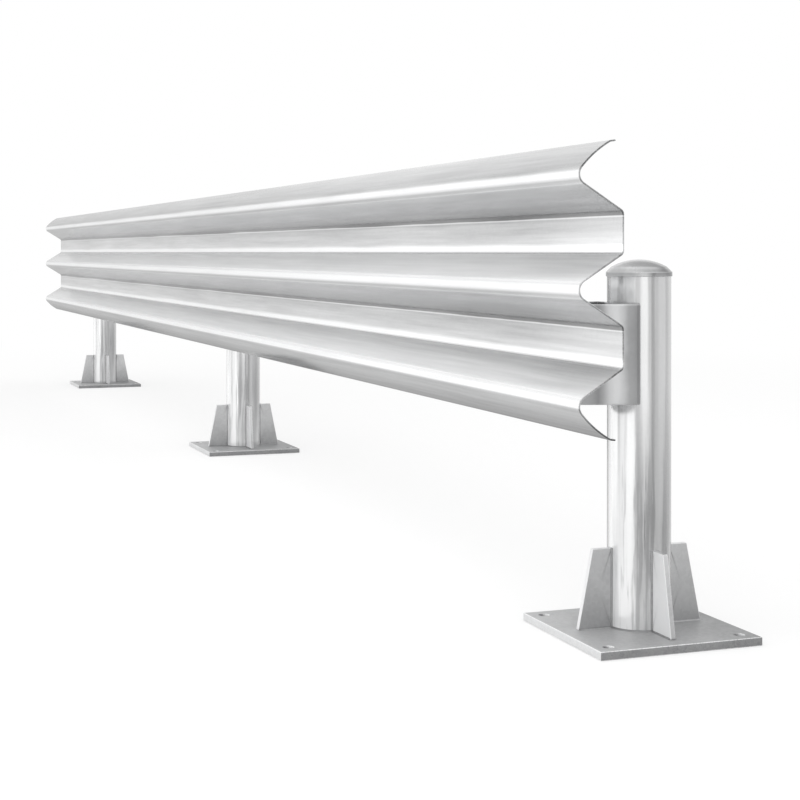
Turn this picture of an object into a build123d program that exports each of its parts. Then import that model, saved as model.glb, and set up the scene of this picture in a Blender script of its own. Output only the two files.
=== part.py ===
from build123d import *
import os
from math import cos, radians, sin, sqrt

# A free-standing section of highway guardrail: one three-wave pressed beam carried in
# front of three round posts, each on its own gusseted base plate.
# +X runs along the beam, -Y is the traffic side, +Z is up. The origin is the centre of
# the underside of the middle post's base plate.

# ---- driving dimensions, millimetres and degrees -------------------------------------

beam_overhang = 300
beam_height = 506
beam_depth = 85
beam_mid_z = 658
sheet_t = 3

wave_pitch = 194
web_angle = 58
crest_r = 20
valley_r = 8
flange_start_angle = 40
flange_end_angle = 60
lip_angle = 82
lip_r = 12
lip_length = 8

post_spacing = 3000
post_d = 121
post_wall = 4.5
post_top_z = 680

cap_t = 2
cap_skirt_h = 4
cap_rim_h = 4
cap_seat_w = 1.5
cap_shoulder = 10.5
cap_dome_h = 13.5

base_side = 330
base_t = 16
anchor_hole_d = 18
anchor_edge = 30

gusset_t = 10
gusset_h = 150
gusset_top_reach = 100
gusset_foot_reach = 130

block_depth = 130
block_h = 185
block_t = 4.5
block_face_w = 80
block_ridge_w = 178
block_ridge_depth = 150
block_drop = 27
block_bend_r = 8
saddle_angle = 48

# ---- derived dimensions --------------------------------------------------------------

post_r = post_d / 2
post_names = ("left", "middle", "right")
post_places = [(index - 1) * post_spacing for index in range(len(post_names))]

beam_length = post_spacing * (len(post_names) - 1) + 2 * beam_overhang
valley_back_y = -post_r - block_depth
beam_face_y = valley_back_y - beam_depth
lower_valley_z = beam_mid_z - wave_pitch / 2

anchor_spacing = base_side - 2 * anchor_edge


def save(piece, name):
    """Label a finished piece and write it as one STEP file named after its node."""
    piece.part.label = name
    export_step(piece.part, f"parts/{name}.step")


# ---- beam ----------------------------------------------------------------------------


def make_beam():
    """One sheet pressed into three crests and two flat valleys.

    The section is drawn in a plane across the beam whose x runs backwards from the
    crests' front and whose y runs up from the middle crest. Half a wave is a rounded
    crest, a straight web and half a flat valley. It is mirrored about the valley's
    middle, the upper edge flange is added, and the whole is mirrored about the middle
    crest. The sheet's thickness lies behind the line.
    """
    press_depth = beam_depth - sheet_t
    web = radians(web_angle)
    web_length = (press_depth - (crest_r + valley_r) * (1 - cos(web))) / sin(web)

    start, end, lip = map(radians, (flange_start_angle, flange_end_angle, lip_angle))
    fixed_rise = crest_r * sin(start) + lip_r * (sin(lip) - sin(end)) + lip_length * cos(lip)
    flange_rise = beam_height / 2 - wave_pitch
    flange_r = (flange_rise - fixed_rise) / (sin(end) - sin(start))

    across = Plane((-beam_length / 2, beam_face_y, beam_mid_z), x_dir=(0, 1, 0), z_dir=(1, 0, 0))
    valley_middle = Plane((0, wave_pitch / 2, 0), z_dir=(0, 1, 0))
    crest_middle = Plane((0, 0, 0), z_dir=(0, 1, 0))

    with BuildPart() as beam:
        with BuildSketch(across):
            with BuildLine():
                crest = JernArc((0, 0), (0, 1), crest_r, -web_angle)
                slope = PolarLine(crest @ 1, web_length, 90 - web_angle)
                corner = JernArc(slope @ 1, slope % 1, valley_r, web_angle)
                Line(corner @ 1, (press_depth, wave_pitch / 2))
                mirror(about=valley_middle)
                outer_crest = JernArc((0, wave_pitch), (0, 1), crest_r, -flange_start_angle)
                flange = JernArc(
                    outer_crest @ 1, outer_crest % 1, flange_r, flange_start_angle - flange_end_angle
                )
                roll = JernArc(flange @ 1, flange % 1, lip_r, flange_end_angle - lip_angle)
                PolarLine(roll @ 1, lip_length, 90 - lip_angle)
                mirror(about=crest_middle)
                offset(amount=sheet_t, side=Side.RIGHT)
            make_face()
        extrude(amount=beam_length)
    return beam


# ---- post ----------------------------------------------------------------------------


def make_post(x):
    """A round steel tube standing on the base plate."""
    with BuildPart() as post:
        with BuildSketch(Plane((x, 0, base_t))):
            Circle(post_r)
            Circle(post_r - post_wall, mode=Mode.SUBTRACT)
        extrude(amount=post_top_z - base_t)
    return post


def make_post_caps():
    """The three pressed caps: a rim round a tube's end, a 45 degree shoulder and a dome.

    Each half section is turned about its post's axis, with heights measured from the
    tube's end. The dome is part of a sphere. Dome and shoulder are one sheet thick, and
    the inner corner is where their two inner faces meet. The step inside the rim sits on
    the tube's end.
    """
    rim_r = post_r + cap_t
    dome_r = rim_r - cap_shoulder
    dome_foot = cap_rim_h + cap_shoulder
    dome_top = dome_foot + cap_dome_h
    crown_r = (dome_r**2 + cap_dome_h**2) / (2 * cap_dome_h)
    crown_z = dome_top - crown_r

    seat_r = post_r - cap_seat_w
    slope_sum = rim_r + cap_rim_h - cap_t * sqrt(2)
    reach = slope_sum - crown_z
    inner_r = (reach - sqrt(2 * (crown_r - cap_t) ** 2 - reach**2)) / 2

    with BuildPart() as post_caps:
        for x in post_places:
            with BuildSketch(Plane((x, 0, post_top_z), x_dir=(1, 0, 0), z_dir=(0, -1, 0))):
                with BuildLine():
                    crown = RadiusArc((0, dome_top), (dome_r, dome_foot), crown_r)
                    inner_crown = RadiusArc(
                        (0, dome_top - cap_t), (inner_r, slope_sum - inner_r), crown_r - cap_t
                    )
                    Line(crown @ 0, inner_crown @ 0)
                    Polyline(
                        inner_crown @ 1,
                        (seat_r, slope_sum - seat_r),
                        (seat_r, 0),
                        (post_r, 0),
                        (post_r, -cap_skirt_h),
                        (rim_r, -cap_skirt_h),
                        (rim_r, cap_rim_h),
                        crown @ 1,
                    )
                make_face()
            revolve(axis=Axis((x, 0, 0), (0, 0, 1)))
    return post_caps


def make_base_plate(x):
    """A square plate with an anchor hole in each corner."""
    with BuildPart() as base_plate:
        with BuildSketch(Plane((x, 0, 0))):
            Rectangle(base_side, base_side)
            with GridLocations(anchor_spacing, anchor_spacing, 2, 2):
                Circle(anchor_hole_d / 2, mode=Mode.SUBTRACT)
        extrude(amount=base_t)
    return base_plate


def make_gusset(x, direction):
    """A tapered plate between the base plate and the post, coped to the tube.

    direction is the gusset's heading from the post's axis, in degrees from +X.
    """
    heading = radians(direction)
    outwards = (cos(heading), sin(heading), 0)
    sideways = (sin(heading), -cos(heading), 0)
    with BuildPart() as gusset:
        with BuildSketch(Plane((x, 0, base_t), x_dir=outwards, z_dir=sideways)):
            with BuildLine():
                Polyline(
                    (0, 0),
                    (gusset_foot_reach, 0),
                    (gusset_top_reach, gusset_h),
                    (0, gusset_h),
                    close=True,
                )
            make_face()
        extrude(amount=gusset_t / 2, both=True)
        with BuildSketch(Plane((x, 0, base_t))):
            Circle(post_r)
        extrude(amount=gusset_h, mode=Mode.SUBTRACT)
    return gusset


# ---- spacer block --------------------------------------------------------------------


def make_spacer_block(x):
    """A sleeve of folded plate that holds the beam off the post.

    In plan its narrow flat face lies against the back of the lower valley, its sides flare
    out to a ridge beside the tube, and its back folds in to a saddle that wraps the front
    of the tube. It is open above and below.
    """
    saddle = radians(saddle_angle)
    saddle_end = (post_r * sin(saddle), -post_r * cos(saddle))
    ridge_y = valley_back_y + block_ridge_depth
    foot_z = lower_valley_z - block_drop - block_h / 2
    with BuildPart() as block:
        with BuildSketch(Plane((x, 0, foot_z))) as plan:
            with BuildLine():
                Polyline(
                    (-saddle_end[0], saddle_end[1]),
                    (-block_ridge_w / 2, ridge_y),
                    (-block_face_w / 2, valley_back_y),
                    (block_face_w / 2, valley_back_y),
                    (block_ridge_w / 2, ridge_y),
                    saddle_end,
                )
                ThreePointArc(saddle_end, (0, -post_r), (-saddle_end[0], saddle_end[1]))
            make_face()
            fillet(plan.vertices(), block_bend_r)
            offset(amount=-block_t, mode=Mode.SUBTRACT)
        extrude(amount=block_h)
    return block


# ---- assembly ------------------------------------------------------------------------

os.makedirs("parts", exist_ok=True)

save(make_beam(), "three_wave_beam")
save(make_post_caps(), "post_caps")

gusset_headings = {"front": -90, "right": 0, "back": 90, "left": 180}

for post_name, post_x in zip(post_names, post_places):
    save(make_post(post_x), f"{post_name}_post")
    save(make_base_plate(post_x), f"{post_name}_base_plate")
    save(make_spacer_block(post_x), f"{post_name}_spacer_block")
    for side_name, heading in gusset_headings.items():
        save(make_gusset(post_x, heading), f"{post_name}_gusset_{side_name}")
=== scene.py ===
"""Looks of a highway guardrail section: a bright galvanised three-wave beam on round posts.

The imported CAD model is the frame. Every CAD solid is stood for by a finer skin of the same
size, with rounded edges and round tubes, and small weld beads close the joints. Lengths are
in metres and angles in degrees. +X runs along the beam, -Y is the traffic side, +Z is up.
"""

import logging
import math
from dataclasses import dataclass, field
from enum import Enum
from typing import Any, Callable, ClassVar, Iterable, Sequence

import bmesh
import bpy
import numpy as np
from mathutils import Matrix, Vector


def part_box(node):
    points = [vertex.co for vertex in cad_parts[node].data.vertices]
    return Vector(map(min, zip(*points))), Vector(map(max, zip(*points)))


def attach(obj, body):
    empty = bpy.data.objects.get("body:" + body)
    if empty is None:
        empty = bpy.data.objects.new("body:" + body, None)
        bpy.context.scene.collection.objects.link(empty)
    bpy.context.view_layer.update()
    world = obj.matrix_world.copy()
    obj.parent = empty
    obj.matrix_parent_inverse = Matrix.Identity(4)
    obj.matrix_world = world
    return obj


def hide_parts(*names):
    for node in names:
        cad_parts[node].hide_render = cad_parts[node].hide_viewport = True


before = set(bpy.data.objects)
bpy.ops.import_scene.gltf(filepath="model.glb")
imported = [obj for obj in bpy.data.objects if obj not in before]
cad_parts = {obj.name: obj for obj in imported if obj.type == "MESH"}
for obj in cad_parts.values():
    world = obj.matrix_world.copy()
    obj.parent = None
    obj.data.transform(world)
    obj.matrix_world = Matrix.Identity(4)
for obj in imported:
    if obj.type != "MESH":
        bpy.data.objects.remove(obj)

log = logging.getLogger("guardrail")

Array = np.ndarray
Material = bpy.types.Material
Pair = tuple[float, float]
Triple = tuple[float, float, float]
Stops = Sequence[Pair]
Stretch = tuple[float, float, float, int]

POSTS = ("left", "middle", "right")
SIDES = ("front", "right", "back", "left")
QUARTERS = ((-1, -1), (1, -1), (1, 1), (-1, 1))
MERGE = 1e-6
CREASE = 38.0


# ---- shader maths ----


def operator(name: str, swapped: bool = False) -> Callable[["Value", Any], "Value"]:
    """An operator that adds one Math node, with its operands swapped or not."""
    order = -1 if swapped else 1
    return lambda self, other: self.sheet.math(name, *(self, other)[::order])


@dataclass(eq=False)
class Value:
    """A node's output socket, so that Python arithmetic on it adds Math nodes."""

    sheet: "NodeSheet"
    socket: bpy.types.NodeSocket

    __add__ = __radd__ = operator("ADD")
    __mul__ = __rmul__ = operator("MULTIPLY")
    __sub__, __rsub__ = operator("SUBTRACT"), operator("SUBTRACT", swapped=True)
    __truediv__, __pow__ = operator("DIVIDE"), operator("POWER")

    def __neg__(self) -> "Value":
        """-self."""
        return self * -1.0

    def math(self, operation: str, *others: Any) -> "Value":
        """The result of a Math node on this value and the others."""
        return self.sheet.math(operation, self, *others)

    def between(self, low: float, high: float) -> "Value":
        """0 below low, 1 above high, and a smooth step between them."""
        inputs = {"Value": self, "From Min": low, "From Max": high}
        return self.sheet.node("MapRange", "Result", inputs, interpolation_type="SMOOTHSTEP")

    def ramp(self, stops: Stops) -> "Value":
        """The level read off a ramp of (place, level) stops."""
        colour = self.sheet.node("ValToRGB", "Color", {"Fac": self}, stops=stops)
        return self.sheet.node("SeparateColor", "Red", {"Color": colour})

    def axis(self, name: str) -> "Value":
        """One coordinate of a vector."""
        return self.sheet.node("SeparateXYZ", name, {"Vector": self})


class NodeSheet:
    """The nodes of a material or world, filled through a single method."""

    def __init__(self, owner: bpy.types.ID) -> None:
        """Empty the owner's node tree and keep it.

        Args:
            owner: the material or world.
        """
        owner.use_nodes = True
        self.tree = owner.node_tree
        self.tree.nodes.clear()

    def node(
        self, kind: str, output: str = "", inputs: dict[Any, Any] | None = None, **settings: Any
    ) -> Value | None:
        """Add a node of any type.

        Args:
            kind: the node's type name, after ShaderNode.
            output: the name of the output that is wanted, if any.
            inputs: the value or the Value of each socket, by the socket's name or number.
            settings: the node's properties, set before its sockets; stops fills a ramp.

        Returns:
            The output.
        """
        node = self.tree.nodes.new("ShaderNode" + kind)
        first, *stops = settings.pop("stops", [None])
        if first:
            elements = node.color_ramp.elements
            elements.remove(elements[-1])
            elements[0].position, elements[0].color = first[0], grey(first[1])
            for place, level in stops:
                elements.new(place).color = grey(level)
        for name, value in settings.items():
            setattr(node, name, value)
        for name, value in (inputs or {}).items():
            socket = node.inputs[name] if isinstance(name, int) else enabled(node.inputs, name)
            if isinstance(value, Value):
                self.tree.links.new(value.socket, socket)
            else:
                socket.default_value = value
        return Value(self, enabled(node.outputs, output)) if output else None

    def math(self, operation: str, *operands: Any) -> Value:
        """The result of one Math node."""
        return self.node("Math", "Value", dict(enumerate(operands)), operation=operation)

    def mix_colour(self, share: Any, first: Any, second: Any) -> Value:
        """The first colour where share is 0 and the second where it is 1."""
        inputs = {"Factor": share, "A": first, "B": second}
        return self.node("Mix", "Result", inputs, data_type="RGBA")

    def noise(self, place: Value, scale: float | Triple, detail: float) -> Value:
        """Noise between 0 and 1.

        Args:
            place: where it is read.
            scale: how often it changes per metre, for all axes or for each.
            detail: how many finer layers it has.

        Returns:
            The noise.
        """
        if isinstance(scale, tuple):
            place = self.node("Mapping", "Vector", {"Vector": place, "Scale": scale})
            scale = 1.0
        inputs = {"Vector": place, "Scale": scale, "Detail": detail, "Roughness": 0.55}
        return self.node("TexNoise", "Fac", inputs)


def grey(level: float) -> tuple[float, float, float, float]:
    """A grey colour."""
    return (level, level, level, 1.0)


def enabled(sockets: Iterable[bpy.types.NodeSocket], name: str) -> bpy.types.NodeSocket:
    """The enabled socket called name."""
    return next(socket for socket in sockets if socket.name == name and socket.enabled)


def heading_share(x: Value, y: Value) -> Value:
    """The heading of (x, y) as a share of a turn: 0.5 towards +X, 0.75 towards +Y."""
    return y.math("ARCTAN2", x) / (2 * math.pi) + 0.5


def by_heading(levels: Stops, brightest: float = 1.0) -> Stops:
    """Levels by heading in degrees, as a ramp's stops in shares of a turn."""
    return [(degrees / 360 + 0.5, level / brightest) for degrees, level in levels]


# ---- surfaces ----


def add_object(name: str, data: bpy.types.ID) -> bpy.types.Object:
    """Add an object to the scene, at the origin."""
    bpy.context.scene.collection.objects.link(added := bpy.data.objects.new(name, data))
    return added


@dataclass
class Skin:
    """Grids of points gathered into one closed mesh."""

    points: list[Array] = field(default_factory=list)
    worn: list[Array] = field(default_factory=list)
    faces: list[list[int]] = field(default_factory=list)
    count: int = 0

    def add_grid(self, points: Array, wrap_rows: bool = False, worn: float | Array = 0.0) -> None:
        """Join each point of a grid to its neighbours in the next row and column by quads.

        The last column joins the first.

        Args:
            points: an array of rows, columns and 3 coordinates.
            wrap_rows: whether the last row joins the first.
            worn: 1 on a rubbed edge, 0 on a face and below 0 on a dull cut end; on the anchor
                holes' walls it also carries painted light and shade.
        """
        rows, columns = points.shape[:2]
        last = rows if wrap_rows else rows - 1
        i, j = np.meshgrid(np.arange(last), np.arange(columns), indexing="ij")
        steps = ((0, 0), (0, 1), (1, 1), (1, 0))
        corners = [((i + a) % rows) * columns + (j + b) % columns for a, b in steps]
        quads = np.stack(corners, axis=-1).reshape(-1, 4) + self.count
        self.faces.extend(quads.tolist())
        self.points.append(points.reshape(-1, 3))
        self.worn.append(np.broadcast_to(worn, (rows, columns)).reshape(-1))
        self.count += rows * columns

    def finish(self, name: str, material: Material, slot: str, nodes: Iterable[str] = ()) -> None:
        """Close the seams, turn the faces outwards and hand the piece to the frame.

        Merging points closes a surface whose last ring has shrunk to a point or a line.

        Args:
            name: the piece's name.
            material: its finish.
            slot: a material slot's name, which is not used.
            nodes: the CAD nodes that the piece stands for.
        """
        mesh = bpy.data.meshes.new(name)
        mesh.from_pydata(np.concatenate(self.points).tolist(), [], self.faces)
        worn = mesh.attributes.new("worn", "FLOAT", "POINT")
        worn.data.foreach_set("value", np.concatenate(self.worn).astype(np.float32))
        shell = bmesh.new()
        shell.from_mesh(mesh)
        bmesh.ops.remove_doubles(shell, verts=shell.verts, dist=MERGE)
        bmesh.ops.dissolve_degenerate(shell, edges=shell.edges, dist=MERGE / 10)
        bmesh.ops.recalc_face_normals(shell, faces=shell.faces)
        shell.to_mesh(mesh)
        shell.free()
        mesh.shade_smooth()
        mesh.set_sharp_from_angle(angle=math.radians(CREASE))
        mesh.materials.append(material)
        piece = add_object(name, mesh)
        if nodes:
            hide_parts(*nodes)
        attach(piece, "root")
        log.info("%s: %d faces", name, len(mesh.polygons))


@dataclass
class Section:
    """An open or closed line with the direction that faces outwards at each point."""

    places: Array
    outwards: Array

    def at(self, offset: float | Array) -> Array:
        """The line moved outwards by an offset."""
        return self.places + self.outwards * np.asarray(offset)[..., None]


def unit(angle: Array) -> Array:
    """(cos, sin) of angles in radians."""
    return np.stack([np.cos(angle), np.sin(angle)], axis=-1)


def raised(flat: Array, level: Array) -> Array:
    """Rows of (x, y) points, each row lifted to its own level."""
    height = np.broadcast_to(level[:, None, None], flat.shape[:2] + (1,))
    return np.concatenate([flat, height], axis=-1)


def easing(radius: float, steps: int) -> tuple[Array, Array]:
    """radius (1 - sin t) and radius (1 - cos t) over a quarter turn t, to round an edge."""
    turn = np.radians(np.linspace(0.0, 90.0, steps))
    return radius * (1 - np.sin(turn)), radius * (1 - np.cos(turn))


def headings(*stretches: Stretch) -> tuple[Array, Array]:
    """Walk straight stretches and arcs from (0, 0).

    A heading is measured from the second axis towards the first. Each step adds its chord
    times (sin, cos) of its mean heading, so an arc's points lie on the arc.

    Args:
        stretches: start heading, end heading, length and number of steps of each.

    Returns:
        The points, and the heading at each in radians.
    """
    walked = [np.radians(stretches[0][:1])]
    chords: list[Array] = []
    means: list[Array] = []
    for start, end, length, steps in stretches:
        turned = np.radians(np.linspace(start, end, steps + 1))
        half = np.abs(np.diff(turned)) / 2
        chords.append(length / steps * np.sinc(half / math.pi))
        means.append((turned[1:] + turned[:-1]) / 2)
        walked.append(turned[1:])
    moves = unit(np.concatenate(means))[:, ::-1] * np.concatenate(chords)[:, None]
    return np.concatenate([np.zeros((1, 2)), np.cumsum(moves, axis=0)]), np.concatenate(walked)


def filleted(corners: Sequence[Sequence[float]], radii: Any, steps: int) -> Section:
    """Round the corners of a closed outline by arcs tangent to both sides.

    An arc starts radius * tan(turn / 2) before its corner, and turns evenly from one side's
    heading h to the next side's through radius * (sin h, -cos h).

    Args:
        corners: the corner points, anticlockwise.
        radii: the radius at each corner or at all, where 0 keeps a corner sharp.
        steps: how many chords each arc has.

    Returns:
        The rounded outline.
    """
    corners = np.array(corners)
    radii = np.broadcast_to(radii, len(corners))
    leg = np.roll(corners, -1, axis=0) - corners
    after = np.arctan2(leg[:, 1], leg[:, 0])
    before = np.roll(after, 1)
    turn = (after - before + math.pi) % (2 * math.pi) - math.pi
    run = (radii * np.tan(np.abs(turn) / 2))[:, None]
    start = corners - unit(before) * run
    heading = before[:, None] + turn[:, None] * np.linspace(0.0, 1.0, steps + 1)
    turned = unit(heading)[..., ::-1] * (1, -1)
    moved = (turned - turned[:, :1]) * (np.sign(turn) * radii)[:, None, None]
    kept = (radii > 0)[:, None] | (np.arange(steps + 1) == 0)
    return Section((start[:, None] + moved)[kept], turned[kept])


def dense(section: Section, ease: float) -> Section:
    """Add three points to each long side of a closed outline: near both ends and midway.

    Args:
        section: the outline.
        ease: how far from a side's ends the outer two stand.

    Returns:
        The outline with the points added.
    """
    side = np.roll(section.places, -1, axis=0) - section.places
    length = np.linalg.norm(side, axis=1)
    share = np.stack([ease / length, np.full(length.shape, 0.5), 1 - ease / length], axis=-1)
    inner = section.places[:, None] + side[:, None] * share[..., None]
    facing = side[:, None, ::-1] * (1, -1) / length[:, None, None]
    places = np.concatenate([section.places[:, None], inner], axis=1)
    outwards = np.concatenate([section.outwards[:, None], facing.repeat(3, axis=1)], axis=1)
    kept = (length > 4 * ease)[:, None] | (np.arange(4) == 0)
    return Section(places[kept], outwards[kept])


def bead(path: Array, first: Array, second: Array, leg: float) -> Array:
    """A rippled fillet weld in the corner between two faces, closed at both ends.

    At angle q from the first face its surface lies at the path plus
    leg (1 + swell sin 2q) / (cos q + sin q) times (cos q first + sin q second).

    Args:
        path: (count, 3) points along the corner.
        first: the direction along one face, for all points or for each.
        second: the direction along the other face.
        leg: how far the weld reaches along each face.

    Returns:
        A grid of rows along the path.
    """
    swell, ripple_height, ripple_length, sunk = 0.2, 0.06, 0.0035, 0.1
    step = np.linalg.norm(np.diff(path, axis=0), axis=1)
    length = np.concatenate([[0.0], np.cumsum(step)])
    ripple = 1 + ripple_height * np.sin(length * (2 * math.pi / ripple_length))
    angle = np.radians(np.linspace(0.0, 90.0, 6))
    reach = leg * (1 + swell * np.sin(2 * angle)) / (np.cos(angle) + np.sin(angle))
    first = np.broadcast_to(first, path.shape)[:, None]
    second = np.broadcast_to(second, path.shape)[:, None]
    out = np.cos(angle)[:, None] * first + np.sin(angle)[:, None] * second
    rows = path[:, None] + out * reach[:, None] * ripple[:, None, None]
    root = path[:, None] - (first + second) * (leg * sunk)
    rows = np.concatenate([root, rows], axis=1)
    ends = np.broadcast_to(root[[0, -1]], (2,) + rows.shape[1:])
    return np.concatenate([ends[:1], rows, ends[1:]])


def lathe(profile: Array, axis: Array, steps: int) -> Array:
    """Turn a (radius, height) profile about an upright axis: x = r cos t, y = r sin t."""
    turn = np.linspace(0.0, 2 * math.pi, steps, endpoint=False)
    return raised(axis + profile[:, :1, None] * unit(turn), profile[:, 1])


def slab(outline: Section, thickness: float, edge: float) -> tuple[Array, Array]:
    """The wall of a flat plate with rounded edges, as rings from one face to the other.

    At angle t round the edge, a ring is the outline moved in by edge (1 - cos t) and lies
    edge sin t beyond the wall's straight part.

    Args:
        outline: the plate's outline.
        thickness: its thickness, centred on height 0.
        edge: the edges' radius.

    Returns:
        The rings, and how worn each one is.
    """
    turn = np.radians(np.linspace(-90.0, 0.0, 5))
    turn = np.concatenate([turn, -turn[::-1]])
    level = edge * np.sin(turn) + np.repeat([-1, 1], 5) * (thickness / 2 - edge)
    rings = raised(outline.at(edge * (np.cos(turn) - 1)[:, None]), level)
    return rings, np.abs(np.sin(2 * turn))[:, None]


# ---- finishes ----


class Grain(Enum):
    """How often a finish's drawn streaks change along the object's axes, per metre."""

    ALONG_X = (2.4, 75.0, 75.0)
    ALONG_Z = (95.0, 95.0, 5.0)
    CAST = (14.0, 14.0, 14.0)


@dataclass(frozen=True)
class Surface:
    """What a finish reads at a point: where it is, the way it faces, its streaks and wear."""

    place: Value
    facing: Value
    streaks: Value
    edge: Value


@dataclass(frozen=True)
class ZincFinish:
    """Hot-dip galvanised steel: a bright metal with streaks, clouds, spangle and rubbed edges.

    tint is its bright colour and dull its grey one, and rough, metal and base the mean
    roughness, metallic look and greyness. streak, cloud, spangle, relief and worn set how
    much each pattern shows, and drift, speckles and crystals how often they change per metre.
    behind greys the +Y faces and lightens the -Y faces: painted shade and painted light by the
    way a face looks along Y. front_matte_side_light takes the metallic look from a face as it
    turns to -Y over the range in front, and on cut plates it paints light on the faces that look
    along Y.
    """

    name: str
    tint: Triple = (0.93, 0.935, 0.94)
    dull: Triple = (0.3, 0.302, 0.306)
    rough: float = 0.2
    metal: float = 1.0
    grain: Grain = Grain.CAST
    base: float = 0.1
    streak: float = 0.2
    cloud: float = 0.15
    drift: Triple = (5.0, 5.0, 5.0)
    spangle: float = 0.05
    relief: float = 0.1
    relief_depth: float = 0.0006
    worn: float = 0.4
    speckles: float = 420.0
    crystals: float = 150.0
    behind: float = 0.0
    front_matte_side_light: float = 0.0
    front: Pair = (0.5, 0.9)

    def make(self) -> Material:
        """Build the material on the object's own coordinates.

        Returns:
            The finished material.
        """
        material = bpy.data.materials.new(self.name)
        sheet = NodeSheet(material)
        place = sheet.node("TexCoord", "Object")
        streaks = sheet.noise(place, self.grain.value, detail=5.0)
        clouds = sheet.noise(place, self.drift, detail=4.0)
        speckle = sheet.noise(place, self.speckles, detail=2.0)
        cells = {"Vector": place, "Scale": self.crystals, "Randomness": 1.0}
        crystal = sheet.node("TexVoronoi", "Color", cells)
        facet = sheet.node("SeparateColor", "Red", {"Color": crystal})
        edge = sheet.node("Attribute", "Fac", attribute_name="worn")
        surface = Surface(place, sheet.node("TexCoord", "Normal"), streaks, edge)

        streaky, cloudy, spangled = streaks - 0.5, clouds - 0.5, facet - 0.5
        patchy = (speckle + clouds).between(0.75, 1.15) * 0.7 + 0.3
        rubbed = edge * patchy * self.worn
        greyness = (
            streaky * (self.streak * 3.0)
            + cloudy * (self.cloud * 3.0)
            + spangled * self.spangle
            + (speckle - 0.5) * 0.05
            + self.base
            # The subclasses' patterns hold painted light, shade and reflections.
            + self.pattern(surface)
            # Painted shade on the +Y faces and painted light on the -Y faces, by behind.
            + surface.facing.axis("Y") * self.behind
            - rubbed
        )
        share = sheet.node("MapRange", "Result", {"Value": greyness})
        rough = (
            streaky * (self.streak * 0.3)
            + cloudy * (self.cloud * 0.4)
            + spangled * (self.spangle * 0.4)
            + self.rough
            - rubbed * 0.15
        )
        height = facet * (self.spangle * 2.0) + speckle * 0.15 + streaks * (self.streak * 4.0)
        bump = {"Strength": self.relief, "Distance": self.relief_depth, "Height": height}
        shader = {
            "Base Color": sheet.mix_colour(share, (*self.tint, 1.0), (*self.dull, 1.0)),
            "Metallic": self.metallic(surface),
            "Roughness": rough,
            "Normal": sheet.node("Bump", "Normal", bump),
        }
        shaded = sheet.node("BsdfPrincipled", "BSDF", shader)
        sheet.node("OutputMaterial", inputs={"Surface": shaded})
        return material

    def pattern(self, at: Surface) -> Value | float:
        """How much greyer the metal is at a point. Even, unless a finish says otherwise."""
        return 0.0

    def metallic(self, at: Surface) -> Value:
        """How metallic the zinc is. Rubbed edges carry a little white zinc oxide."""
        front = (-at.facing.axis("Y")).between(*self.front)
        return self.metal - at.edge * 0.3 - front * self.front_matte_side_light


@dataclass(frozen=True)
class RolledZincFinish(ZincFinish):
    """Galvanised pressed sheet, with painted highlights on its crests and painted shade on its
    webs.

    mid is the middle crest's height, pitch the distance between crests and reach that from
    the middle crest to an edge. sway is how far the bands waver, end_reflection_span the
    stretch along X over which a painted reflection at the beam's +X end fades in, and back
    the share of the greyness that the back has.
    """

    mid: float = 0.658
    pitch: float = 0.194
    reach: float = 0.253
    sway: float = 0.004
    end_reflection_span: Pair = (2.85, 3.35)
    back: float = 0.35

    # Painted light and shade by phase up a wave: painted highlights on the crests and along each
    # valley's lower corner, painted shade on the down-facing webs and a dark painted shade line
    # along each valley's upper corner.
    WAVE: ClassVar[Stops] = (
        (0.0, 0.0), (0.1, 0.03), (0.2, 0.15), (0.305, 0.45), (0.325, 0.35), (0.34, 0.0),
        (0.375, 0.0), (0.41, 0.4), (0.5, 0.5), (0.6, 0.55), (0.63, 0.65), (0.642, 0.3),
        (0.645, 0.4), (0.65, 0.94), (0.686, 0.94), (0.695, 0.7), (0.72, 0.58), (0.82, 0.46),
        (0.9, 0.42), (0.95, 0.4), (0.982, 0.05), (1.0, 0.0),
    )
    # A painted reflection at the beam's +X end: the shift it makes to the wave's greyness.
    END_REFLECTION_WAVE: ClassVar[Stops] = (
        (0.0, 0.5), (0.1, 0.5), (0.16, 0.74), (0.3, 0.74), (0.35, 0.32), (0.62, 0.28),
        (0.66, 0.4), (0.7, 0.31), (0.92, 0.33), (1.0, 0.5),
    )
    # Painted shade over the flanges, darkest towards the bottom flange's lip.
    TOP_FLANGE: ClassVar[Stops] = (
        (0.0, 0.0), (0.08, 0.05), (0.22, 0.55), (0.6, 0.52), (0.9, 0.46), (1.0, 0.38),
    )
    BOTTOM_FLANGE: ClassVar[Stops] = (
        (0.0, 0.0), (0.02, 0.05), (0.07, 0.48), (0.35, 0.57), (0.55, 0.78), (0.8, 1.0),
    )

    def pattern(self, at: Surface) -> Value:
        """Painted light and shade up each wave from crest to crest, and over both edge flanges.

        Towards the beam's +X end a painted reflection makes the valleys and the faces under the
        crests brighter and the faces over the crests greyer.

        Args:
            at: the surface.

        Returns:
            How much greyer the metal is.
        """
        height = at.place.axis("Z") + (at.streaks - 0.5) * self.sway - self.mid
        phase = (height / self.pitch + 4.0).math("FRACT")
        near_end_share = at.place.axis("X").between(*self.end_reflection_span)
        wave = phase.ramp(self.WAVE) + (phase.ramp(self.END_REFLECTION_WAVE) - 0.5) * near_end_share
        edge = (height.math("ABSOLUTE") - self.pitch) / (self.reach - self.pitch)
        top, bottom = edge.ramp(self.TOP_FLANGE), edge.ramp(self.BOTTOM_FLANGE)
        flange = top + (bottom - top) * height.math("LESS_THAN", 0.0)
        front = (-at.facing.axis("Y")).between(-0.2, 0.2) * (1.0 - self.back) + self.back
        return (wave + (flange - wave) * edge.math("GREATER_THAN", 0.0)) * front

    def metallic(self, at: Surface) -> Value:
        """Weathered zinc on the faces that look up, bright zinc elsewhere."""
        return self.metal - at.facing.axis("Z").between(0.4, 0.85) * 0.7


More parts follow.
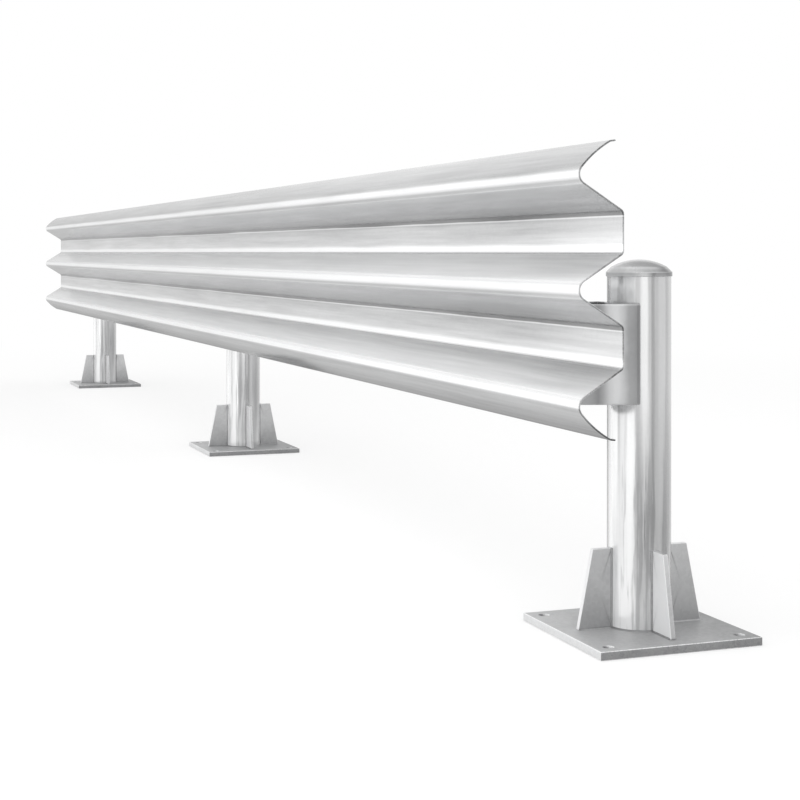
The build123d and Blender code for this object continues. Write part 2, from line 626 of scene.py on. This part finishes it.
@dataclass(frozen=True)
class DrawnZincFinish(ZincFinish):
    """Galvanised drawn tube: painted reflection stripes and die-line streaks that waver down it,
    and dull zinc at its foot.

    UPPER and LOWER are the greyness by heading from the axis of the nearest post, painted
    reflection stripes, spacing the distance between posts and waver how far the lines stray.
    LOWER takes over down through the heights drawn_out. Through those in welded the lines turn
    by twist and clear by bright, which paints light at the foot.
    """

    spacing: float = 3.0
    waver: float = 0.12
    drawn_out: Pair = (0.22, 0.5)
    welded: Pair = (0.03, 0.2)
    twist: float = 0.02
    bright: float = 0.2

    # Painted reflection stripes: greyness by heading in degrees, the same round every post.
    UPPER: ClassVar[Stops] = (
        (-180, 0.2), (-158, 0.4), (-133, 0.1), (-108, 0.3), (-92, 0.3), (-87, 0.0),
        (-71, 0.0), (-69, 0.35), (-65, 0.3), (-62, 0.05), (-54, 0.05), (-52, 0.2),
        (-49, 0.0), (-37, 0.0), (-34, 0.38), (-26, 0.38), (-23, 0.1), (-13, 0.1),
        (-10, 0.4), (0, 0.4), (3, 0.46), (10, 0.38), (24, 0.36), (28, 0.48), (34, 0.46),
        (38, 0.35), (62, 0.3), (82, 0.4), (112, 0.2), (142, 0.4), (180, 0.2),
    )
    LOWER: ClassVar[Stops] = (
        (-180, 0.2), (-158, 0.5), (-133, 0.1), (-108, 0.2), (-94, 0.15), (-89, 0.0),
        (-78, 0.0), (-70, 0.12), (-58, 0.12), (-55, 0.45), (-52, 0.0), (-38, 0.0),
        (-34, 0.45), (-29, 0.75), (-23, 0.8), (-19, 0.5), (-16, 0.5), (-11, 0.8),
        (-5, 0.8), (0, 0.5), (12, 0.5), (17, 0.55), (21, 0.75), (34, 0.8), (44, 0.65),
        (62, 0.45), (82, 0.6), (112, 0.2), (142, 0.5), (180, 0.2),
    )

    def pattern(self, at: Surface) -> Value:
        """Painted reflection stripes by the heading from the post's axis, drawn out and darker
        lower down.

        Args:
            at: the surface.

        Returns:
            How much greyer the metal is.
        """
        nearest = (at.place.axis("X") / self.spacing + 10.5).math("FRACT")
        across = (nearest - 0.5) * self.spacing
        low = 1.0 - at.place.axis("Z").between(*self.drawn_out)
        foot = 1.0 - at.place.axis("Z").between(*self.welded)
        stray = (at.streaks - 0.5) * self.waver * (low * 0.8 + 0.2)
        share = heading_share(across, at.place.axis("Y")) + stray + foot * self.twist
        even = share.ramp(by_heading(self.UPPER))
        drawn = share.ramp(by_heading(self.LOWER))
        sparse = at.streaks.between(0.6, 0.72) * 0.2 * low
        # Painted light at the foot: bright takes greyness off there.
        return even + (drawn - even) * low + sparse - foot * self.bright

    def metallic(self, at: Surface) -> Value:
        """Dull zinc at the welded foot, bright zinc above it."""
        return at.place.axis("Z").between(0.0, 0.25) * 0.4 + (self.metal - 0.4)


@dataclass(frozen=True)
class BandedZincFinish(ZincFinish):
    """Galvanised plate with painted bands of light and shade across one axis.

    The bands are stops in shares of the way from start to end, and waver how far they stray.
    """

    axis: str = "Y"
    start: float = -0.1905
    end: float = -0.0405
    waver: float = 0.12
    # The spacer block's bands, from its narrow face to its ridge: painted shade near the beam's
    # valley and at the ridge, a painted reflection between.
    bands: Stops = (
        (0.0, 0.5), (0.4, 0.8), (0.48, 1.0), (0.53, 0.75), (0.6, 0.25), (0.66, 0.05),
        (0.71, 0.05), (0.78, 0.35), (0.84, 0.75), (0.9, 0.85), (0.96, 1.0), (1.0, 0.9),
    )

    def pattern(self, at: Surface) -> Value:
        """Greyness along the axis."""
        share = (at.place.axis(self.axis) - self.start) / (self.end - self.start)
        return (share + (at.streaks - 0.5) * self.waver).ramp(self.bands)


@dataclass(frozen=True)
class CutZincFinish(ZincFinish):
    """Galvanised plate with cut edges, and painted light and shade by the way a face looks.

    x_face_shade is how much greyer its X faces are and foot how much greyer they get towards
    the base plate, both painted shade. back_shade is how much greyer it gets per metre towards
    +Y, as painted shade.
    """

    x_face_shade: float = 0.0
    foot: float = 0.0
    back_shade: float = 0.0

    def pattern(self, at: Surface) -> Value:
        """Painted shade by the way a face looks and towards the base plate, and painted light on
        the faces that look along Y.

        Args:
            at: the surface.

        Returns:
            How much greyer the metal is.
        """
        across, side = at.facing.axis("X") ** 2.0, at.facing.axis("Y") ** 2.0
        low = 1.0 - at.place.axis("Z").between(0.0, 0.16)
        # Painted shade on the X faces and near the base plate, painted light on the Y faces.
        greyness = across * (low * self.foot + self.x_face_shade) - side * (self.front_matte_side_light * 0.3)
        # Painted shade: greyer towards +Y.
        return greyness + at.place.axis("Y") * (1.0 - across) * self.back_shade


def make_finishes() -> dict[str, Material]:
    """Build every finish.

    Returns:
        The materials by the name of the pieces that wear them.
    """
    # The cap's rings are painted reflections: lighter lines at the rim's top edge, across the
    # shoulder and at the top, greyer between.
    rings = (
        (0.0, 0.45), (0.2, 0.6), (0.26, 0.4), (0.3, 0.6), (0.4, 0.6), (0.48, 0.42),
        (0.54, 0.42), (0.6, 0.45), (0.8, 0.5), (0.92, 0.35), (1.0, 0.3),
    )
    cut = {"tint": (0.9, 0.905, 0.91), "dull": (0.34, 0.342, 0.346), "spangle": 0.08}
    finishes = {
        "beam": RolledZincFinish(
            "beam_zinc", dull=(0.12, 0.121, 0.123), rough=0.16, grain=Grain.ALONG_X, base=0.0,
            streak=0.14, cloud=0.08, drift=(1.2, 6.0, 6.0), spangle=0.02, relief=0.12, worn=1.5,
        ),
        "tube": DrawnZincFinish(
            "tube_zinc", tint=(0.96, 0.963, 0.966), rough=0.12, metal=0.72, grain=Grain.ALONG_Z,
            base=0.03, streak=0.07, cloud=0.04, spangle=0.02, relief=0.2,
        ),
        # Cap: painted reflection rings, painted shade on its +Y side and painted light on its -Y
        # side by behind.
        "cap": BandedZincFinish(
            "cap_zinc", tint=(0.86, 0.865, 0.87), base=0.15, streak=0.1, behind=0.5, front_matte_side_light=0.7,
            front=(0.2, 0.65), axis="Z", start=0.676, end=0.708, waver=0.15, bands=rings,
        ),
        # Plate: painted shade on its X faces, towards +Y and on its +Y faces, painted light on its
        # -Y and Y faces.
        "plate": CutZincFinish(
            "plate_zinc", dull=(0.24, 0.242, 0.246), rough=0.45, metal=0.35, base=0.74,
            streak=0.07, cloud=0.1, spangle=0.06, worn=0.8, x_face_shade=0.3, front_matte_side_light=0.3, back_shade=0.9,
            behind=0.15,
        ),
        # Gussets: painted shade on their X faces and towards the base plate, painted light on
        # their Y faces.
        "gusset": CutZincFinish(
            "gusset_zinc", rough=0.34, base=0.2, streak=0.12, worn=0.5, x_face_shade=0.18, foot=0.3,
            front_matte_side_light=0.85, behind=0.06, **cut,
        ),
        # Spacer block: its bands paint shade and a reflection across it.
        "block": BandedZincFinish(
            "block_zinc", tint=(0.74, 0.745, 0.75), rough=0.34, base=0.0, streak=0.06,
            cloud=0.06, spangle=0.02, relief=0.03,
        ),
        "weld": ZincFinish("weld_zinc", rough=0.4, base=0.95, **cut),
    }
    return {name: finish.make() for name, finish in finishes.items()}


# ---- beam ----


@dataclass
class ThreeWaveBeam:
    """The pressed sheet: three rounded crests, two flat valleys and two curled edges."""

    material: Material
    sheet: float = 0.003
    pitch: float = 0.194
    web_angle: float = 58.0
    crest_r: float = 0.020
    valley_r: float = 0.008
    flange_start: float = 40.0
    flange_end: float = 60.0
    lip_angle: float = 82.0
    lip_r: float = 0.012
    lip_length: float = 0.008
    edge_r: float = 0.0007
    ease: float = 0.003
    tip_points: int = 7
    stations: int = 40
    first_station: float = 0.030
    dull_end: float = -0.3

    def build(self) -> None:
        """Carry the sheet's section along the beam and close both ends."""
        low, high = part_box("three_wave_beam")
        middle, outwards = self.section(low, high)
        inset, depth = easing(self.edge_r, steps=4)
        end = np.array([0.0, *depth, 3 * self.edge_r])
        inner = (low.x + self.first_station, high.x - self.first_station)
        inner = np.linspace(*inner, self.stations)
        along = np.concatenate([low.x + end, inner, high.x - end[::-1]])
        half = np.full(along.shape, self.sheet / 2)
        half[1:5] -= inset
        half[-5:-1] -= inset[::-1]
        half[[0, -1]] = 0.0
        across = middle[None] + outwards[None] * half[:, None, None]
        ends = np.minimum(along - low.x, high.x - along)[:, None] < 2 * self.edge_r
        skin = Skin()
        skin.add_grid(raised(across, along)[..., [2, 0, 1]], worn=self.dull_end * ends)
        skin.finish("three_wave_sheet", self.material, "beam_steel", ["three_wave_beam"])

    def straight(self, heading: float, length: float, steps: int) -> list[Stretch]:
        """A straight stretch of the section's walk, with one short step at each end."""
        ease = (heading, heading, self.ease, 1)
        return [ease, (heading, heading, length - 2 * self.ease, steps), ease]

    def section(self, low: Vector, high: Vector) -> tuple[Array, Array]:
        """The sheet's middle line in (y, z), up along its front and home along its back.

        Half the front is walked up from the middle crest: crest, web, corner, flat, corner,
        web, outer crest, flange, roll and lip. The lower half mirrors it.

        Args:
            low: the beam's lowest corner.
            high: its highest corner.

        Returns:
            The points, and at each the direction to the sheet's surface.
        """
        angles = (self.web_angle, self.flange_start, self.flange_end, self.lip_angle)
        (a, b, c, d), (web, start, end, lip) = angles, map(math.radians, angles)
        press = high.y - low.y - self.sheet
        bends = self.crest_r + self.valley_r
        web_run = (press - bends * (1 - math.cos(web))) / math.sin(web)
        web_rise = web_run * math.cos(web) + bends * math.sin(web)
        fixed = (
            self.crest_r * math.sin(start)
            + self.lip_r * (math.sin(lip) - math.sin(end))
            + self.lip_length * math.cos(lip)
        )
        rise = (high.z - low.z) / 2 - self.pitch
        flange_r = (rise - fixed) / (math.sin(end) - math.sin(start))
        points, heading = headings(
            (0.0, a, self.crest_r * web, 14),
            *self.straight(a, web_run, 3),
            (a, 0.0, self.valley_r * web, 8),
            *self.straight(0.0, self.pitch - 2 * web_rise, 5),
            (0.0, -a, self.valley_r * web, 8),
            *self.straight(-a, web_run, 3),
            (-a, b, self.crest_r * (web + start), 22),
            (b, c, flange_r * (end - start), 12),
            (c, d, self.lip_r * (lip - end), 6),
            (d, d, self.lip_length - self.sheet / 2, 2),
        )
        facing = unit(heading) * (-1, 1)
        flip = np.array([1.0, -1.0])
        front = np.concatenate([points[:0:-1] * flip, points])
        facing = np.concatenate([facing[:0:-1] * flip, facing])
        middle = front - facing * (self.sheet / 2) + (low.y, (low.z + high.z) / 2)
        upper, lower = (middle[[i]].repeat(self.tip_points, axis=0) for i in (-1, 0))
        top, bottom = self.tip(facing[-1]), self.tip(facing[0])
        line = np.concatenate([middle, upper, middle[::-1], lower])
        return line, np.concatenate([facing, top, -facing[::-1], -bottom])

    def tip(self, facing: Array) -> Array:
        """Directions round the sheet's cut edge, turned clockwise from one face."""
        turn = np.linspace(0.0, math.pi, self.tip_points + 2)[1:-1]
        return unit(turn) @ np.array([facing, facing[::-1] * (1, -1)])


# ---- posts, gussets and caps ----


@dataclass
class Post:
    """One round tube with its four gussets and the welds that join them."""

    name: str
    finishes: dict[str, Material]
    wall: float = 0.0045
    cut_r: float = 0.0006
    gusset_t: float = 0.010
    gusset_top: float = 0.100
    root_r: float = 0.0003
    tip_r: float = 0.0015
    edge_r: float = 0.0012
    leg: float = 0.003
    weld_steps: tuple[int, int, int] = (120, 240, 160)
    round_steps: int = 128

    def __post_init__(self) -> None:
        """Read the tube's place and size off its CAD solid."""
        low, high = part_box(f"{self.name}_post")
        self.axis = np.array([(low.x + high.x) / 2, (low.y + high.y) / 2])
        self.radius = (high.x - low.x) / 2
        self.foot, self.top = low.z, high.z

    def build(self) -> None:
        """Make the tube, its four gussets and their welds."""
        self.make_tube()
        welds = Skin()
        for number, side in enumerate(SIDES):
            self.make_gusset(side, -90.0 + 90.0 * number, welds)
        welds.finish(f"{self.name}_foot_welds", self.finishes["weld"], "gusset_steel")

    def make_tube(self) -> None:
        """A round wall turned about the post's axis, with both cut ends eased."""
        outer, inner = self.radius, self.radius - self.wall
        corners = [(outer, self.foot), (outer, self.top), (inner, self.top), (inner, self.foot)]
        profile = dense(filleted(corners, self.cut_r, steps=3), ease=0.003).places
        skin = Skin()
        skin.add_grid(lathe(profile, self.axis, self.round_steps), wrap_rows=True)
        nodes = [f"{self.name}_post"]
        skin.finish(f"{self.name}_tube", self.finishes["tube"], "post_steel", nodes)

    def make_gusset(self, side: str, heading: float, welds: Skin) -> None:
        """A tapered plate with eased edges, and the five welds of its quarter.

        Each face closes by rings that shrink to its middle.

        Args:
            side: its side of the post.
            heading: its direction from the post's axis.
            welds: where the welds are gathered.
        """
        node = f"{self.name}_gusset_{side}"
        low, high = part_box(node)
        turned = math.radians(heading)
        along = np.array([math.cos(turned), math.sin(turned), 0.0])
        beside = np.array([-along[1], along[0], 0.0])
        up = np.array([0.0, 0.0, 1.0])
        centre = np.array([*self.axis, 0.0])
        reach = np.abs((np.array([low, high]) - centre) @ along).max()
        half = self.gusset_t / 2
        root = math.sqrt(self.radius**2 - half**2)
        corners = [(root, low.z), (reach, low.z), (self.gusset_top, high.z), (root, high.z)]
        radii = [self.root_r, self.tip_r, self.tip_r, self.root_r]
        outline = dense(filleted(corners, radii, steps=4), ease=0.002)
        local, worn = slab(outline, self.gusset_t, self.edge_r)
        rings = centre + local @ np.array([along, up, beside])
        skin = Skin()
        skin.add_grid(rings, worn=worn)
        shrink = np.array([0.0, 0.03, 1.0])[:, None, None]
        for ring in (rings[0], rings[-1]):
            skin.add_grid(ring + (ring.mean(axis=0) - ring) * shrink)
        name = f"{self.name}_{side}_gusset_plate"
        skin.finish(name, self.finishes["gusset"], "gusset_steel", [node])

        run_steps, rise_steps, ring_steps = self.weld_steps
        floor = centre + up * low.z
        run = np.linspace(root, reach - self.leg, run_steps)[:, None]
        rise = np.linspace(0.0, high.z - low.z, rise_steps)[:, None]
        for hand in (-1, 1):
            foot, out = floor + beside * (half * hand), beside * hand
            welds.add_grid(bead(foot + along * run, out, up, self.leg))
            welds.add_grid(bead(foot + along * root + up * rise, out, along, self.leg))
        gap = math.asin(half / self.radius)
        turn = turned + np.linspace(gap, math.pi / 2 - gap, ring_steps)
        outwards = np.pad(unit(turn), ((0, 0), (0, 1)))
        welds.add_grid(bead(floor + outwards * self.radius, outwards, up, self.leg))


@dataclass
class PostCaps:
    """The three domed caps, one on each tube."""

    posts: list[Post]
    material: Material
    sheet: float = 0.002
    skirt: float = 0.004
    rim: float = 0.004
    seat: float = 0.0015
    shoulder: float = 0.0105

    def build(self) -> None:
        """Turn one cap about each post's axis."""
        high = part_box("post_caps")[1].z
        skin = Skin()
        for post in self.posts:
            profile = self.profile(post.radius, post.top, high)
            skin.add_grid(lathe(profile, post.axis, post.round_steps))
        skin.finish("domed_caps", self.material, "cap_steel", ["post_caps"])

    def profile(self, tube: float, top: float, high: float) -> Array:
        """Half of a cap's section, from its pole down its outside and back within.

        The dome's height at radius r is high - R + sqrt(R^2 - r^2). The shoulder falls at 45
        degrees from the dome's edge to the rim.

        Args:
            tube: the tube's outer radius.
            top: the height of its end.
            high: the height of the pole.

        Returns:
            (radius, height) points.
        """
        rim_r = tube + self.sheet
        edge_r, edge_z = rim_r - self.shoulder, top + self.rim + self.shoulder
        rise = high - edge_z
        crown = (edge_r**2 + rise**2) / (2 * rise)
        slope = rim_r + top + self.rim - self.sheet * math.sqrt(2)
        reach = slope - (high - crown)
        inner_r = (reach - math.sqrt(2 * (crown - self.sheet) ** 2 - reach**2)) / 2
        dome = self.cap_arc(edge_r, crown, high - crown)
        hollow = self.cap_arc(inner_r, crown - self.sheet, high - crown)[::-1]
        seat_r, foot = tube - self.seat, top - self.skirt
        corners = [
            dome[-2], (edge_r, edge_z), (rim_r, top + self.rim), (rim_r, foot), (tube, foot),
            (tube, top), (seat_r, top), (seat_r, slope - seat_r), hollow[0], hollow[1],
        ]
        radii = [0.0, 0.005, 0.0025, 0.0007, 0.0004, 0.0, 0.0, 0.0, 0.001, 0.0]
        edge = dense(filleted(corners, radii, steps=5), ease=0.0015).places
        return np.concatenate([dome[:-2], edge[:-1], hollow[1:]])

    def cap_arc(self, reach: float, radius: float, centre: float) -> Array:
        """A sphere's section from its pole out to a reach."""
        out = np.sin(np.linspace(0.0, 1.0, 25) * math.asin(reach / radius)) * radius
        return np.stack([out, centre + np.sqrt(radius**2 - out**2)], axis=-1)


# ---- base plates ----


@dataclass
class BasePlate:
    """A thick square plate with an anchor hole in each quarter.

    shares places a face's rings between a hole and its quarter's border.
    """

    post: Post
    material: Material
    hole_r: float = 0.009
    hole_edge: float = 0.030
    hole_ease: float = 0.0018
    hole_worn: float = 0.3
    edge_r: float = 0.0016
    edge_worn: float = 0.2
    steps: int = 100
    shares: tuple[float, ...] = (0.0, 0.01, 0.03, 0.12, 0.35, 0.65, 0.9, 0.985, 1.0)

    def build(self) -> None:
        """Make both faces quarter by quarter, the holes' walls and the edge all round."""
        node = f"{self.post.name}_base_plate"
        low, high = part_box(node)
        centre, side = self.post.axis, (high.x - low.x) / 2
        ease, fall = easing(self.hole_ease, steps=4)
        radius = np.concatenate([ease, ease[::-1]])[:, None, None] + self.hole_r
        wall_level = np.concatenate([high.z - fall, low.z + fall[::-1]])
        share = np.array(self.shares)[:, None, None]
        skin = Skin()
        border = []
        for quarter in np.array(QUARTERS):
            hole = centre + quarter * (side - self.hole_edge)
            ray, square = self.square_round(hole, centre, quarter, side - self.edge_r)
            border.append(square)
            ring = hole + ray * (self.hole_r + self.hole_ease)
            flat = ring + (square - ring) * share
            for level in (low.z, high.z):
                skin.add_grid(raised(flat, np.full(len(flat), level)))
            # The holes' walls: rubbed, with painted light on the side that faces -Y and painted
            # shade on the side that faces +Y.
            skin.add_grid(raised(hole + ray * radius, wall_level), worn=self.hole_worn + ray[:, 1])
        self.add_edge(skin, np.concatenate(border), centre, low.z, high.z)
        skin.finish(f"{self.post.name}_anchor_plate", self.material, "plate_steel", [node])

    def square_round(
        self, hole: Array, centre: Array, quarter: Array, side: float
    ) -> tuple[Array, Array]:
        """Where rays from a hole meet its quarter's square, with the corners kept.

        Args:
            hole: the hole's middle.
            centre: the plate's middle.
            quarter: the quarter's signs along X and Y.
            side: the square's side.

        Returns:
            The rays and the points, in order round the hole.
        """
        turn = np.linspace(0.0, 2 * math.pi, self.steps, endpoint=False) + math.pi / self.steps
        ray = unit(turn)
        ends = np.sort(np.stack([centre, centre + quarter * side]), axis=0)
        reach = np.where(ray > 0, ends[1] - hole, ends[0] - hole) / ray
        square = hole + ray * reach.min(axis=1, keepdims=True)
        for corner in ((ends[i, 0], ends[j, 1]) for i in (0, 1) for j in (0, 1)):
            square[np.argmin(np.linalg.norm(square - corner, axis=1))] = corner
        return ray, square

    def add_edge(self, skin: Skin, points: Array, centre: Array, low: float, high: float) -> None:
        """Round the plate's edge between the borders of its two faces.

        The border is put in order round the plate, and moves out along both axes at a corner.

        Args:
            skin: the plate's surface.
            points: the points round the quarters, of which only the border's count.
            centre: the plate's middle.
            low: the height of its underside.
            high: the height of its top.
        """
        offset = points - centre
        side = np.abs(offset).max()
        offset = np.unique(offset[np.abs(offset).max(axis=1) > side - MERGE / 10].round(7), axis=0)
        offset = offset[np.argsort(np.arctan2(offset[:, 1], offset[:, 0]))]
        out = np.sign(offset) * (np.abs(offset) > side - MERGE)
        outline = Section(centre + offset + out * self.edge_r, out)
        rings, worn = slab(outline, high - low, self.edge_r)
        skin.add_grid(rings[::-1] + (0, 0, (low + high) / 2), worn=worn + self.edge_worn)


# ---- spacer blocks ----


@dataclass
class SpacerBlock:
    """A folded sleeve between the beam's lower valley and the tube.

    valley is how far the lower valley stands over the sleeve's middle, and valley_weld half
    the weld there. fold is where the sleeve's back meets the tube on +X, and tube_way and
    side_way are the directions of the tube and of the sleeve's side.
    """

    post: Post
    material: Material
    plate: float = 0.0045
    face_w: float = 0.080
    ridge_w: float = 0.178
    ridge_depth: float = 0.150
    bend_r: float = 0.008
    edge_r: float = 0.0008
    leg: float = 0.006
    weld_step: float = 0.0007
    valley: float = 0.027
    valley_weld: float = 0.028
    fold: Pair = (0.0465, -0.0415)
    tube_way: Pair = (0.62, 0.78)
    side_way: Pair = (0.31, 0.95)

    def build(self) -> None:
        """Carry the plate's rounded edge section round the sleeve's plan, and weld it on."""
        node = f"{self.post.name}_spacer_block"
        low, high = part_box(node)
        w, h = self.plate / 2, (high.z - low.z) / 2
        corners = [(w, -h), (w, h), (-w, h), (-w, -h)]
        wall = dense(filleted(corners, self.edge_r, steps=3), ease=0.003).places
        flat = self.plan(low.y).at((wall[:, 0] - w)[:, None]) + self.post.axis
        worn = (np.abs(wall[:, 1]) > h - self.edge_r * 1.01)[:, None]
        skin = Skin()
        level = wall[:, 1] + (low.z + high.z) / 2
        skin.add_grid(raised(flat, level), wrap_rows=True, worn=worn)
        skin.finish(f"{self.post.name}_folded_block", self.material, "block_steel", [node])
        self.weld(low, high)

    def weld(self, low: Vector, high: Vector) -> None:
        """Weld the folds to the tube's sides and the narrow face to the beam's valley.

        Args:
            low: the sleeve's lowest corner.
            high: its highest corner.
        """
        valley = (low.z + high.z) / 2 + self.valley
        bottom, top = valley - self.valley_weld, valley + self.valley_weld
        across = (1.0, 0.0)
        lines = (
            (self.fold, low.z, high.z, self.tube_way, across),
            ((self.face_w / 2, low.y), bottom, top, across, self.side_way),
        )
        skin = Skin()
        for hand in (-1, 1):
            for place, start, end, *ways in lines:
                height = np.linspace(start, end, int((end - start) / self.weld_step))
                foot = self.post.axis + np.array(place) * (hand, 1)
                path = np.column_stack([np.tile(foot, (len(height), 1)), height])
                first, second = (np.array([way[0] * hand, way[1], 0.0]) for way in ways)
                skin.add_grid(bead(path, first, second, self.leg))
        skin.finish(f"{self.post.name}_block_welds", self.post.finishes["weld"], "block_steel")

    def plan(self, front: float) -> Section:
        """The sleeve's outline about the post's axis, from the middle of its narrow face.

        Each bend is an arc tangent to both sides, the last one to the back and, from outside,
        to the tube. The saddle follows the tube.

        Args:
            front: the y of the narrow face.

        Returns:
            The outline.
        """
        r, tube = self.bend_r, self.post.radius
        ridge_y = front + self.ridge_depth
        centre = np.array([math.sqrt((tube + r) ** 2 - (ridge_y - r) ** 2), ridge_y - r])
        back = (centre[0], ridge_y)
        corners = [(0.0, front), (self.face_w / 2, front), (self.ridge_w / 2, ridge_y), back]
        sides = dense(filleted(corners, [0.0, r, r, 0.0], steps=8), ease=0.002)
        count = np.argmin(np.linalg.norm(sides.places - back, axis=1))
        saddle = math.atan2(centre[0], -centre[1])
        fold = unit(np.linspace(math.pi / 2, math.pi / 2 + saddle, 9))
        away = unit(np.linspace(saddle, 0.0, 14)[1:])[:, ::-1] * (1, -1)
        places = np.concatenate([sides.places[:count], centre + fold * r, away * tube])
        outwards = np.concatenate([[(0.0, -1.0)], sides.outwards[1:count], fold, -away])
        both = (np.concatenate([half, half[-2:0:-1] * (-1, 1)]) for half in (places, outwards))
        return Section(*both)


# ---- studio ----


@dataclass
class Studio:
    """The camera, the floor and the soft light round the object.

    shade is the floor's grey for the camera, which glow lifts, and bounce its grey for
    light. It fades into the backdrop over the distances in fade. PANELS are the room's
    levels by heading near the horizon, up to BRIGHTEST.
    """

    eye: Triple = (5.695, -1.463, 0.722)
    turn: float = 20.0
    lens: float = 72.0
    sensor: float = 36.0
    lower: float = 0.185
    view_limit: float = 200.0
    floor_size: float = 60.0
    floor_drop: float = 0.0005
    shade: float = 0.5
    glow: float = 0.5
    bounce: float = 0.6
    fade: Pair = (2.6, 7.0)
    lamp_place: Triple = (3.2, -3.0, 4.5)
    lamp_aim: Triple = (0.0, 0.0, 0.4)
    lamp_size: Pair = (6.0, 4.0)
    lamp_power: float = 110.0

    BRIGHTEST: ClassVar[float] = 1.3
    PANELS: ClassVar[Stops] = (
        (-180, 0.95), (-156, 0.95), (-143, 1.25), (-113, 1.25), (-111, 0.95), (-100, 0.95),
        (-98, 1.1), (-79, 1.1), (-77, 0.95), (-74, 0.95), (-72, 1.25), (-43, 1.25),
        (-41, 0.95), (-27, 0.95), (-25, 1.12), (1, 1.12), (3, 0.9), (15, 0.9), (17, 0.5),
        (28, 0.5), (31, 0.8), (44, 0.8), (47, 0.9), (77, 0.9), (80, 0.8), (94, 0.8),
        (97, 0.85), (150, 0.85), (165, 0.8), (180, 0.9),
    )

    def build(self) -> None:
        """Make everything that isn't part of the object."""
        self.place_camera()
        self.lay_floor()
        self.light_world()
        self.hang_lamp()

    def place_camera(self) -> None:
        """A level camera that looks along the beam from its right-hand end."""
        lens = bpy.data.cameras.new("camera")
        lens.sensor_width = self.sensor
        lens.lens = self.lens
        lens.shift_y = -self.lower
        lens.clip_end = self.view_limit
        camera = add_object("camera", lens)
        camera.location = self.eye
        camera.rotation_euler = (math.radians(90.0), 0.0, math.radians(90.0 - self.turn))
        bpy.context.scene.camera = camera

    def lay_floor(self) -> None:
        """A plain white floor that keeps the object's shadow and fades into the backdrop."""
        half = self.floor_size / 2
        corners = [(half * x, half * y, 0.0) for x, y in QUARTERS]
        mesh = bpy.data.meshes.new("floor")
        mesh.from_pydata(corners, [], [(0, 1, 2, 3)])
        floor = add_object("floor", mesh)
        floor.location.z = -self.floor_drop

        material = bpy.data.materials.new("floor_white")
        sheet = NodeSheet(material)
        seen, mirrored = (sheet.node("LightPath", f"Is {ray} Ray") for ray in ("Camera", "Glossy"))
        place = sheet.node("TexCoord", "Object")
        away = sheet.node("VectorMath", "Value", {0: place}, operation="LENGTH")
        colour = sheet.mix_colour(seen, grey(self.bounce), grey(self.shade))
        lit = sheet.node("BsdfDiffuse", "BSDF", {"Color": colour})
        lift = {"Color": grey(1.0), "Strength": seen * self.glow}
        glow = sheet.node("Emission", "Emission", lift)
        near = sheet.node("AddShader", "Shader", {0: lit, 1: glow})
        beyond = sheet.node("Emission", "Emission", {"Color": grey(1.0)})
        share = away.between(*self.fade) * seen
        both = sheet.node("MixShader", "Shader", {0: share, 1: near, 2: beyond})
        clear = sheet.node("BsdfTransparent", "BSDF")
        shown = sheet.node("MixShader", "Shader", {0: mirrored, 1: both, 2: clear})
        sheet.node("OutputMaterial", inputs={"Surface": shown})
        mesh.materials.append(material)

    def light_world(self) -> None:
        """A white backdrop for the camera, and soft panels all round for the metal.

        Near the horizon tall panels stand side by side. Down the beam a bright one faces the
        traffic side and a greyer one stands behind. Overhead and behind the room is bright.
        """
        world = bpy.data.worlds.new("studio")
        bpy.context.scene.world = world
        sheet = NodeSheet(world)
        direction = sheet.node("TexCoord", "Generated")
        x, y, z = (direction.axis(name) for name in "XYZ")
        panels = heading_share(x, y).ramp(by_heading(self.PANELS, self.BRIGHTEST))

        upper = z.between(0.12, 0.25)
        lower = (-z).between(0.1, 0.2)
        shaded = (x + y * 0.3).between(0.2, 0.6)
        dim = z.between(0.42, 0.52) * (1.0 - z.between(0.86, 0.92)) * (-x).between(0.05, 0.3)
        room = panels * self.BRIGHTEST
        room = room + (1.0 - room) * upper
        room = room + (1.0 - shaded * 0.4 - room) * lower
        room = room - dim * 0.35

        flat = (y * y + z * z + 1e-6) ** 0.5
        front = (-y / flat).between(0.5, 0.85)
        below = (-z / flat).between(0.2, 0.8)
        behind = (y / flat).between(0.5, 0.8) * below
        down_beam = front * 0.2 - below * 0.1 - behind * 0.45 + 0.95
        cone, far = (-x).between(0.82, 0.87), (-x).between(0.92, 1.0)
        level = room + (down_beam * (1.0 - far * 0.23) - room) * cone

        seen = sheet.node("LightPath", "Is Camera Ray")
        inputs = {"Color": grey(1.0), "Strength": level * (1.0 - seen) + seen}
        light = sheet.node("Background", "Background", inputs)
        sheet.node("OutputWorld", inputs={"Surface": light})

    def hang_lamp(self) -> None:
        """One large soft lamp above the traffic side, which the metal doesn't mirror."""
        lamp = bpy.data.lights.new("key", "AREA")
        lamp.shape = "RECTANGLE"
        lamp.size, lamp.size_y = self.lamp_size
        lamp.energy = self.lamp_power
        key = add_object("key", lamp)
        key.location = self.lamp_place
        aim = Vector(self.lamp_aim) - key.location
        key.rotation_euler = aim.to_track_quat("-Z", "Y").to_euler()
        key.visible_glossy = False


# ---- the object ----


def main() -> None:
    """Build the studio and every sub-assembly."""
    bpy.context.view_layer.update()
    Studio().build()
    finishes = make_finishes()
    ThreeWaveBeam(finishes["beam"]).build()
    posts = [Post(name, finishes) for name in POSTS]
    for post in posts:
        post.build()
        BasePlate(post, finishes["plate"]).build()
        SpacerBlock(post, finishes["block"]).build()
    PostCaps(posts, finishes["cap"]).build()

    bpy.context.scene.view_settings.view_transform = "Standard"


if __name__ == "__main__":
    logging.basicConfig(level=logging.INFO)
    main()
